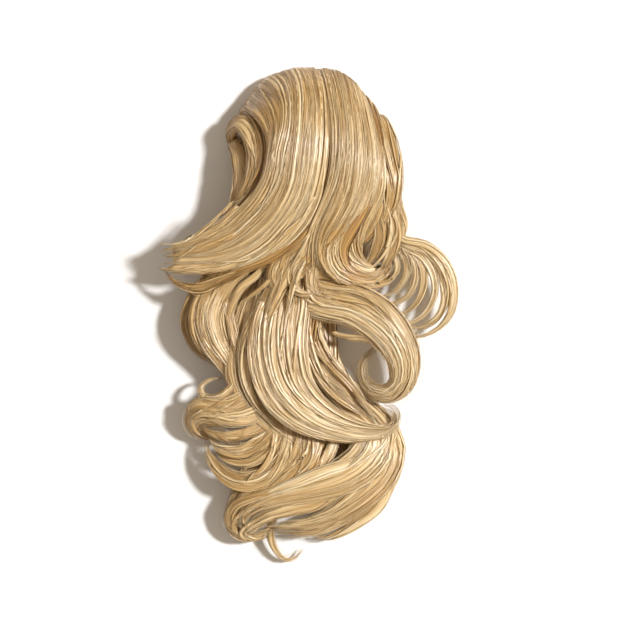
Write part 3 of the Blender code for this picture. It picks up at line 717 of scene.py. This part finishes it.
# The right loops: thin bands that leave the dome's right side, swing out as one and curl back in apart.
loops = Hair(15)
loops.add(Lock(160, 170, 60, 120, (
    (8, 50, 30), (3, 28, 32), (-1, 8, 36), (-2, -8, 40), (6, -20, 44), (19, -28, 45), (31, -35, 42),
    (41, -40, 36))), tone_and_painted_light=(-0.15, -0.05))
BANDS = (
    (35, 44, 15, 60, ((40, 50, 38), (52, 37, 45), (62, 31, 49), (76, 29, 49), (87, 24.5, 47),
        (94, 17.5, 44), (96.5, 10, 41), (95, 3, 38), (89, -3, 34), (80, -6.5, 31), (70, -8, 28),
        (58, -7, 26))),
    (45, 46, 15, 60, ((38, 50, 36), (52, 35, 44), (65, 29.5, 48), (77, 26.5, 48), (86, 20.5, 45),
        (90.5, 13, 42), (90, 5.5, 38), (85, -0.5, 34), (76, -4, 30), (66, -4, 27), (55, -2, 25))),
    (35, 38, 12, 50, ((36, 50, 34), (52, 34, 43), (65, 28, 46), (75, 24.5, 46), (82, 18, 43),
        (84, 11, 40), (80.5, 4, 36), (73, -1, 32), (62, -3, 29), (50, -2, 26))),
    (45, 38, 14, 45, ((30, 60, 32), (44, 42, 38), (56, 33, 43), (67, 28, 45), (74, 22.5, 43),
        (76.5, 15.5, 40), (74, 8.5, 37), (68, 3.5, 33), (58, 0.5, 30), (46, 1, 28))),
    (40, 34, 12, 40, ((28, 58, 30), (42, 42, 36), (54, 32, 42), (64, 27.5, 44), (70.5, 21.5, 42),
        (71, 15, 39), (66.5, 9, 36), (58, 5.5, 33), (48, 4, 30), (36, 5, 28))),
    (45, 40, 14, 45, ((24, 58, 28), (38, 42, 36), (50, 33, 41), (60, 28, 43), (65, 22, 41), (64, 16, 38),
        (58, 11, 35), (49, 8.5, 32), (38, 8, 30))),
    (40, 36, 12, 40, ((22, 56, 26), (36, 40, 34), (48, 31, 40), (56, 25, 41), (58, 19, 39),
        (53, 14.5, 36), (45, 12, 33), (34, 11, 31))),
)
for lock in BANDS:
    loops.add(Lock(*lock), fill=1.5, tone_and_painted_light=(0.0, 0.14))
loops.make("loop_hair", top_hair)

# The ring: a broad lock from under the dome that runs to the right and curls down into a full turn.
ring = Hair(16)
ring.add(Lock(170, 190, 20, 130, (
    (4, 56, 40), (-3, 36, 44), (-6, 20, 50), (-1, 10, 57), (12, 7, 62), (28, 5, 66), (43, 0, 67),
    (56, -8, 64), (63, -18, 59), (61, -27, 53), (52, -31, 48), (42, -30, 44), (35, -25, 40),
    (35, -19, 38), (41, -14, 37), (50, -10, 36))), fill=1.3, tone_and_painted_light=(-0.1, 0.05))
# The highest of these thin locks are given a raised tone: painted highlight along the ring's top.
CURL = (
    (30, 40, 10, 35, 0.10, ((4, 12, 66), (16, 11, 71), (30, 10, 74), (44, 6, 75), (57, -2, 72),
        (67, -13, 66), (68, -23, 61), (62, -31, 56), (53, -34, 51), (43, -33, 47))),
    (30, 40, 10, 35, -0.05, ((10, 2, 64), (24, 0, 69), (38, -3, 70), (50, -9, 67), (57, -16, 62),
        (57, -23, 57), (50, -28, 52), (42, -27, 48), (37, -22, 45))),
    (26, 30, 8, 30, 0.05, ((14, -6, 60), (26, -8, 66), (38, -9, 66), (48, -12, 63), (55, -18, 59),
        (54, -25, 54), (47, -29, 50))),
    (18, 22, 6, 20, 0.12, ((8, 9, 71), (24, 7, 76), (40, 3, 77), (54, -6, 73), (62, -16, 67),
        (62, -26, 61), (55, -32, 56))),
)
for *sizes, tone_and_painted_light, route in CURL:
    ring.add(Lock(*sizes, route), fill=1.6, tone_and_painted_light=(tone_and_painted_light, tone_and_painted_light))
MIDDLE = (
    (30, 45, 18, 40, ((-2, 12, 54), (1, -2, 54), (7, -13, 54), (18, -21, 54), (30, -29, 51),
        (40, -38, 46), (50, -45, 42))),
    (30, 45, 18, 40, ((-6, 8, 58), (-3, -8, 58), (3, -19, 57), (12, -28, 55), (25, -35, 52),
        (40, -41, 47))),
    (16, 20, 6, 18, ((4, 4, 56), (8, -8, 57), (16, -17, 57), (27, -25, 54), (38, -34, 50))),
    (16, 20, 6, 18, ((0, 2, 60), (1, -12, 60), (8, -23, 59), (20, -31, 56), (36, -38, 50))),
)
for lock in MIDDLE:
    ring.add(Lock(*lock), fill=1.4, tone_and_painted_light=(-0.12, 0.05))
ring.make("ring_hair", top_hair)

# The wave: the broadest lock of the tail, in a long S with a small curl at its end.
wave = Hair(17)
wave.add(Lock(170, 250, 25, 130, (
    (-10, 60, 46), (-14, 38, 50), (-16, 20, 54), (-18, 7, 60), (-21, -5, 67), (-21, -16, 70),
    (-16, -27, 69), (-4, -36, 66), (12, -42, 61), (28, -45, 56), (43, -46, 50), (54, -45, 44),
    (58, -41, 39), (55, -37, 35), (49, -36, 32))), fill=1.6, tone_and_painted_light=(-0.1, 0.10), tufts=1.3)
ARCS = (
    (40, 60, 15, 40, 0.10, ((-30, 8, 66), (-36, -2, 72), (-38, -13, 74), (-34, -25, 74), (-24, -36, 72),
        (-9, -43, 69), (8, -47, 65), (24, -49, 59), (40, -49, 53), (52, -48, 47))),
    (40, 60, 15, 40, 0.16, ((-22, 8, 68), (-27, -4, 75), (-28, -15, 77), (-23, -26, 76), (-12, -35, 73),
        (3, -42, 69), (20, -46, 63), (38, -48, 56), (52, -46, 49), (60, -42, 43))),
    (24, 30, 8, 25, 0.05, ((-10, 6, 66), (-12, -6, 72), (-11, -17, 74), (-4, -27, 72), (8, -35, 68),
        (23, -41, 62), (40, -44, 54), (54, -44, 46), (60, -41, 42), (59, -37, 38), (53, -35, 36))),
    (16, 20, 6, 18, 0.16, ((-16, 4, 72), (-19, -8, 78), (-17, -20, 79), (-8, -31, 76), (6, -39, 71),
        (24, -44, 63), (42, -46, 55))),
)
for *sizes, tone_and_painted_light, route in ARCS:
    wave.add(Lock(*sizes, route), fill=1.4, tone_and_painted_light=(tone_and_painted_light - 0.1, tone_and_painted_light))
wave.make("wave_hair", top_hair)

# The knot: short locks below the sweep that cross each other and turn under, where the tail's big waves
# begin.
knot = Hair(21)
KNOT = (
    (50, 60, 25, 50, 0.0, ((-2, 32, 76), (-10, 24, 76), (-18, 15, 74), (-24, 6, 72), (-29, -3, 72),
        (-32, -13, 72))),
    (45, 60, 25, 45, -0.05, ((10, 32, 74), (4, 24, 73), (1, 16, 72), (4, 9, 70), (12, 6, 70), (24, 5, 72),
        (36, 3, 74))),
    (40, 48, 18, 40, 0.05, ((-4, 34, 80), (-15, 27, 80), (-22, 22, 78), (-25, 16, 74), (-21, 11, 71),
        (-13, 10, 70), (-5, 13, 70))),
    (35, 42, 15, 38, 0.0, ((4, 32, 79), (-5, 25, 79), (-11, 20, 78), (-12, 14, 75), (-7, 10, 72),
        (2, 9, 71), (12, 11, 71))),
    (30, 36, 12, 32, -0.1, ((-12, 28, 76), (-20, 20, 74), (-26, 12, 70), (-34, 5, 67), (-40, -3, 66))),
    (18, 22, 6, 20, 0.12, ((6, 30, 80), (-4, 22, 80), (-10, 14, 78), (-14, 5, 76), (-18, -5, 77))),
    (16, 18, 6, 18, 0.1, ((-10, 30, 80), (-20, 22, 79), (-28, 14, 74), (-40, 8, 68), (-50, 3, 64))),
)
for *sizes, tone_and_painted_light, route in KNOT:
    knot.add(Lock(*sizes, route), fill=1.4, tone_and_painted_light=(tone_and_painted_light, tone_and_painted_light))
knot.make("knot_hair", top_hair)

# The left roll and the right side's slack locks: hair that turns in under the sheets at the dome's edges.
fold = Hair(18)
fold.add(Lock(60, 90, 50, 100, (
    (-36, 70, 30), (-50, 70, 34), (-47, 66, 46), (-45, 56, 54), (-49, 46, 58), (-58, 38, 60))),
    tone_and_painted_light=(-0.3, -0.1))
fold.add(Lock(70, 100, 60, 110, (
    (-48, 70, 3), (-53, 72, 18), (-52, 76, 36), (-46, 78, 50), (-39, 74, 60), (-35, 65, 67), (-37, 55, 71),
    (-45, 46, 71), (-57, 38, 68))), tone_and_painted_light=(-0.2, -0.05))
fold.add(Lock(22, 26, 8, 24, (
    (-53, 74, 30), (-50, 79, 46), (-42, 78, 60), (-36, 72, 70), (-34, 63, 76), (-38, 54, 79), (-45, 47, 80),
    (-56, 40, 79))), tone_and_painted_light=(0.05, 0.1))
fold.add(Lock(110, 170, 60, 120, (
    (40, 79, 3), (43, 79, 22), (48, 69, 48), (49, 58, 60), (48, 48, 60), (45, 40, 57), (39, 33, 52),
    (33, 26, 48))), tone_and_painted_light=(-0.15, -0.08))
VEIL = (
    (40, 60, 15, 40, ((44, 60, 62), (51, 50, 62), (55, 42, 59), (57, 34, 55), (54, 26, 51), (48, 19, 48),
        (38, 14, 46))),
    (40, 60, 15, 40, ((36, 58, 64), (42, 49, 64), (46, 41, 61), (47, 33, 57), (43, 26, 53), (36, 20, 50),
        (28, 18, 48))),
    (26, 34, 10, 28, ((50, 54, 60), (58, 45, 57), (62, 37, 52), (60, 29, 48), (55, 22, 46))),
    (14, 16, 5, 16, ((42, 56, 68), (50, 44, 64), (53, 34, 58), (50, 26, 53), (41, 20, 50), (32, 17, 49))),
)
for lock in VEIL:
    fold.add(Lock(*lock), fill=1.3, tone_and_painted_light=(-0.08, 0.05))
fold.make("fold_hair", top_hair)

# Under the sheets, the locks that carry them over the dome. They show in the partings alone, so they are
# thinly covered and given darker colours, as painted shade.
carry = Hair(19)
CARRIED = (
    (120, 140, 50, 130, ((-40, 82, 3), (-41, 85, 20), (-35, 84, 42), (-29, 77, 62), (-26, 64, 74),
        (-29, 53, 77), (-39, 43, 76), (-54, 35, 73), (-74, 30, 68), (-92, 27, 63))),
    (130, 150, 60, 130, ((-28, 88, 3), (-29, 90, 22), (-22, 88, 48), (-16, 79, 70), (-13, 67, 81),
        (-17, 53, 84), (-28, 41, 82), (-45, 32, 77), (-68, 26, 71), (-90, 23, 63))),
    (130, 150, 50, 130, ((-15, 92, 3), (-15, 93, 24), (-9, 90, 52), (-3, 79, 75), (-3, 66, 84),
        (-8, 51, 85), (-20, 38, 82), (-38, 28, 78), (-64, 21, 71), (-90, 19, 62))),
    (130, 150, 40, 130, ((-2, 93, 3), (-2, 94, 24), (4, 90, 54), (7, 79, 77), (8, 65, 84), (4, 50, 84),
        (-8, 37, 82), (-24, 27, 79), (-44, 21, 74), (-66, 18, 68), (-86, 18, 62))),
    (130, 140, 30, 130, ((10, 92, 3), (10, 93, 24), (15, 88, 56), (18, 77, 78), (18, 64, 84),
        (14, 50, 84), (4, 38, 83), (-8, 29, 80), (-19, 24, 76), (-25, 18, 70), (-27, 11, 64))),
    (130, 160, 70, 130, ((22, 89, 3), (23, 90, 24), (26, 84, 56), (28, 74, 76), (28, 61, 82),
        (23, 48, 82), (13, 37, 80), (2, 28, 76), (-9, 21, 72), (-17, 14, 66), (-16, 8, 58),
        (-9, 10, 54))),
    (120, 160, 35, 120, ((31, 84, 3), (33, 85, 24), (37, 78, 52), (39, 68, 69), (37, 56, 75),
        (29, 45, 76), (20, 36, 74), (15, 27, 70), (20, 18, 65), (33, 14, 60), (47, 15, 54), (54, 22, 50),
        (51, 30, 44))),
)
for lock in CARRIED:
    carry.add(Lock(*lock), fill=0.35, tufts=0.5, tone_and_painted_light=(-0.2, -0.05))
carry.make("carrying_hair", shaded_under_hair)

# The sweep is the uppermost sheet. It is combed over the dome and flicks out to the left. Its roots are
# darker over the dome's top, partly the hair's own colour and partly painted shade.
sweep = Hair(31)
sweep.add(Sheet(0.005,
    ((-42, 84, 3), (-45, 85, 20), (-44, 83, 44), (-39, 80.5, 66), (-33, 76, 80), (-29, 70, 86),
     (-29, 63, 89), (-32, 55, 91), (-40, 48, 91), (-50, 42, 89), (-62, 36.5, 86), (-76, 32, 80),
     (-97, 27, 68)),
    ((-30, 93, 3), (-31, 95, 20), (-24, 92, 52), (-18, 85, 76), (-18, 76, 88), (-22, 66, 93),
     (-24, 57, 95), (-31, 48, 94), (-42, 40, 91), (-56, 33, 86), (-76, 28, 79), (-98, 26, 68)),
    ((-16, 97, 3), (-17, 99, 22), (-12, 94, 56), (-10, 86, 78), (-10, 76, 90), (-12, 64, 95),
     (-14, 54, 96), (-19, 46, 95), (-28, 38, 93), (-44, 30, 88), (-66, 25, 81), (-96, 24, 68)),
    ((-4, 98, 3), (-5, 100, 24), (-1, 95, 58), (2, 86, 80), (1, 76, 92), (-1, 63, 97),
     (-4, 53, 97), (-9, 45, 96), (-18, 37, 93), (-32, 28, 88), (-52, 22, 81), (-70, 20, 74),
     (-101, 19, 62)),
    ((7, 98, 3), (7, 100, 24), (10, 94, 60), (12, 85, 82), (13, 74, 93), (12, 62, 97),
     (9, 52, 97), (4, 43, 95), (-4, 35, 92), (-16, 28, 87), (-34, 22, 81), (-58, 18, 74),
     (-92, 17, 62)),
    ), fill=2.4, tone_and_painted_light=(-0.26, 0.06), tufts=1.8, ends=0.03)
FLICKS = (
    (40, 44, 6, 40, 0.0, ((-46, 44, 88), (-60, 36, 87), (-76, 31, 81), (-89, 28, 75), (-100, 26, 67))),
    (40, 44, 6, 40, -0.05, ((-42, 36, 88), (-60, 30, 86), (-77, 26.5, 79), (-90, 24.5, 73),
        (-98, 24.5, 67))),
    (40, 44, 6, 40, 0.0, ((-34, 26, 86), (-52, 21, 82), (-70, 19, 75), (-86, 18.5, 69), (-101, 19.5, 62))),
    (60, 60, 8, 60, -0.2, ((-30, 24, 76), (-46, 19, 74), (-60, 15, 69), (-73, 11.5, 63), (-83, 12, 58),
        (-92, 15, 56), (-97, 19, 56))),
    (14, 14, 4, 14, 0.1, ((-50, 46, 92), (-66, 37, 88), (-80, 31, 82), (-93, 29, 74), (-102, 29.5, 68))),
    (16, 20, 4, 18, 0.15, ((4, 48, 100), (-8, 38, 98), (-22, 30, 94), (-38, 23, 88), (-54, 18, 80))),
)
for *sizes, tone_and_painted_light, route in FLICKS:
    sweep.add(Lock(*sizes, route), fill=1.5, tone_and_painted_light=(tone_and_painted_light, tone_and_painted_light), ends=0.03)
sweep.make("sweep_hair", top_hair)

# The right side of the dome: a second sheet that parts from the sweep and turns under to the right.
side = Hair(32)
side.add(Sheet(0.005,
    ((5, 98, 3), (5, 100, 24), (8, 95, 58), (11, 85, 81), (13, 74, 91), (13, 62, 95),
     (10, 52, 94), (4, 43, 92), (-6, 33, 88), (-16, 26, 83), (-23, 20, 77), (-27, 13, 70)),
    ((17, 97, 3), (17, 99, 24), (20, 93, 58), (23, 84, 80), (25, 73, 91), (25, 62, 95),
     (22, 51, 94), (16, 42, 91), (8, 33, 86), (6, 24, 80), (12, 17, 74), (25, 13, 66), (42, 12, 60),
     (54, 16, 54)),
    ((27, 94, 3), (28, 95, 22), (32, 87, 56), (35, 77, 76), (37, 68, 86), (37, 58, 89),
     (34, 49, 87), (28, 41, 84), (20, 33, 78), (17, 26, 74), (22, 19, 68), (32, 16, 62), (44, 16, 57),
     (53, 22, 50)),
    ((36, 88, 3), (37, 89, 20), (42, 81, 48), (46, 72, 66), (49, 63, 74), (50, 55, 76),
     (48, 47, 72), (42, 40, 66), (36, 33, 60), (33, 26, 54), (36, 20, 48)),
    ), fill=2.4, tone_and_painted_light=(-0.16, 0.06), tufts=1.8, ends=0.03)
side.add(Sheet(0.004,
    ((34, 89, 3), (36, 90, 20), (41, 82, 46), (46, 73, 62), (50, 64, 70), (53, 56, 70), (54, 49, 66),
     (56, 44, 58)),
    ((42, 84, 3), (44, 84.5, 18), (49, 76, 38), (53, 68, 50), (57, 60, 56), (60, 52, 56), (62, 46, 53),
     (65, 39, 48)),
    ), fill=2.0, tone_and_painted_light=(-0.05, 0.12), tufts=1.6, ends=0.03)
side.make("side_hair", top_hair)

# The backing that the top locks are sewn over: a padded dome of fibre, open below for the cap. It closes
# the view between the locks from the side.
BACKING_SIZE = (0.061, 0.052, 0.048)
BACKING_WALL = 0.003
BACKING_TINT = 0.45
BACKING_LIFT = 0.0004
CAP_LOW, CAP_HIGH = (np.array(corner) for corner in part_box("cap"))
cap_middle = (CAP_LOW + CAP_HIGH) / 2
bpy.ops.object.select_all(action="DESELECT")
bpy.ops.mesh.primitive_uv_sphere_add(segments=64, ring_count=32, radius=1.0, location=(0, 0, 0))
backing = bpy.context.object
backing.name = "crown_backing"
backing.scale = BACKING_SIZE
backing.location = (cap_middle[0], cap_middle[1], 0.0)
bpy.ops.object.transform_apply(location=True, rotation=True, scale=True)
bpy.ops.object.mode_set(mode="EDIT")
bpy.ops.mesh.select_all(action="SELECT")
bpy.ops.mesh.bisect(plane_co=(0, 0, BACKING_LIFT), plane_no=(0, 0, 1), clear_inner=True)
bpy.ops.object.mode_set(mode="OBJECT")
bpy.ops.object.shade_smooth()
bpy.ops.object.modifier_add(type="SOLIDIFY")
backing.modifiers["Solidify"].thickness = BACKING_WALL
bpy.ops.object.modifier_apply(modifier="Solidify")
# The backing takes the under hair's darker colours: painted shade for fibre that lies under the locks.
backing.data.materials.append(shaded_under_hair)
backing.data.uv_layers[0].name = "fibre"
corners = np.zeros(2 * len(backing.data.loops), np.float32)
backing.data.uv_layers["fibre"].data.foreach_get("uv", corners)
corners = corners.reshape(-1, 2) * (2 * math.pi * BACKING_SIZE[0], math.pi * BACKING_SIZE[2])
backing.data.uv_layers["fibre"].data.foreach_set("uv", corners.ravel().astype(np.float32))
shade = backing.data.attributes.new("tint_and_painted_light", "FLOAT", "POINT")
shade.data.foreach_set("value", np.full(len(backing.data.vertices), BACKING_TINT, np.float32))
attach(backing, "root")
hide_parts("hair")

# The cap is a stretch net in the hair's own colour, knitted in two crossing directions.
NET_SCALE = 21 * math.pi
NET_UNEVENNESS = 0.8
NET_DEPTH = 0.0004
NET_ROUGHNESS = 0.85
NET_SHADES = ((92, 62, 32), (186, 146, 96))
cap_net = bpy.data.materials.new("cap_net")
cap_net.use_nodes = True
nodes, links = cap_net.node_tree.nodes, cap_net.node_tree.links
nodes["Principled BSDF"].inputs["Roughness"].default_value = NET_ROUGHNESS
place = nodes.new("ShaderNodeTexCoord")
threads = []
for direction in ("X", "Y"):
    thread = nodes.new("ShaderNodeTexWave")
    thread.bands_direction = direction
    thread.inputs["Scale"].default_value = NET_SCALE
    thread.inputs["Distortion"].default_value = NET_UNEVENNESS
    links.new(place.outputs["Object"], thread.inputs["Vector"])
    threads.append(thread)
crossing = nodes.new("ShaderNodeMath")
crossing.operation = "MAXIMUM"
links.new(threads[0].outputs["Fac"], crossing.inputs[0])
links.new(threads[1].outputs["Fac"], crossing.inputs[1])
net_colour = nodes.new("ShaderNodeValToRGB")
net_colour.color_ramp.elements[0].color = linear(*NET_SHADES[0])
net_colour.color_ramp.elements[1].color = linear(*NET_SHADES[1])
links.new(crossing.outputs["Value"], net_colour.inputs["Fac"])
links.new(net_colour.outputs["Color"], nodes["Principled BSDF"].inputs["Base Color"])
net_bump = nodes.new("ShaderNodeBump")
net_bump.inputs["Distance"].default_value = NET_DEPTH
links.new(crossing.outputs["Value"], net_bump.inputs["Height"])
links.new(net_bump.outputs["Normal"], nodes["Principled BSDF"].inputs["Normal"])
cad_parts["cap"].data.materials.clear()
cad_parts["cap"].data.materials.append(cap_net)

# The comb is moulded amber plastic, glossy and a little cloudy, sewn in under the crown's far edge.
COMB_ROUGHNESS = 0.22
COMB_COAT = 0.4
COMB_CLOUDS = 90
COMB_SHADES = ((120, 70, 24), (196, 136, 66))
comb_plastic = bpy.data.materials.new("comb_plastic")
comb_plastic.use_nodes = True
nodes, links = comb_plastic.node_tree.nodes, comb_plastic.node_tree.links
nodes["Principled BSDF"].inputs["Roughness"].default_value = COMB_ROUGHNESS
nodes["Principled BSDF"].inputs["Coat Weight"].default_value = COMB_COAT
place = nodes.new("ShaderNodeTexCoord")
cloud = nodes.new("ShaderNodeTexNoise")
cloud.inputs["Scale"].default_value = COMB_CLOUDS
cloud.inputs["Detail"].default_value = 4
links.new(place.outputs["Object"], cloud.inputs["Vector"])
amber = nodes.new("ShaderNodeValToRGB")
amber.color_ramp.elements[0].position = 0.35
amber.color_ramp.elements[0].color = linear(*COMB_SHADES[0])
amber.color_ramp.elements[1].position = 0.65
amber.color_ramp.elements[1].color = linear(*COMB_SHADES[1])
links.new(cloud.outputs["Fac"], amber.inputs["Fac"])
links.new(amber.outputs["Color"], nodes["Principled BSDF"].inputs["Base Color"])
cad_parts["comb"].data.materials.clear()
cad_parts["comb"].data.materials.append(comb_plastic)

# The surface that the piece lies on, and the light: one soft lamp from the right, and a pale room.
FLOOR_SIZE = 6.0
FLOOR_COLOUR = (0.9, 0.9, 0.9, 1)
FLOOR_ROUGHNESS = 0.9
FLOOR_SPECULAR = 0.1
bpy.ops.mesh.primitive_plane_add(size=FLOOR_SIZE, location=(0, 0, 0))
floor = bpy.context.object
floor.name = "floor"
floor_material = bpy.data.materials.new("floor_white")
floor_material.use_nodes = True
floor_shader = floor_material.node_tree.nodes["Principled BSDF"]
floor_shader.inputs["Base Color"].default_value = FLOOR_COLOUR
floor_shader.inputs["Roughness"].default_value = FLOOR_ROUGHNESS
floor_shader.inputs["Specular IOR Level"].default_value = FLOOR_SPECULAR
floor.data.materials.append(floor_material)

KEY_STRENGTH = 3.8
KEY_SOFTNESS = math.radians(7)
KEY_TILT = math.radians(42)
KEY_TURN = math.radians(15)
bpy.ops.object.light_add(type="SUN", location=(1, 0.3, 1), rotation=(0, KEY_TILT, KEY_TURN))
key = bpy.context.object
key.data.energy = KEY_STRENGTH
key.data.angle = KEY_SOFTNESS
ROOM_STRENGTH = 0.42
ROOM_COLOUR = (1.0, 0.86, 0.70, 1.0)
world = bpy.data.worlds.new("pale_room")
bpy.context.scene.world = world
world.use_nodes = True
world.node_tree.nodes["Background"].inputs["Color"].default_value = ROOM_COLOUR
world.node_tree.nodes["Background"].inputs["Strength"].default_value = ROOM_STRENGTH
bpy.context.scene.view_settings.view_transform = "Standard"
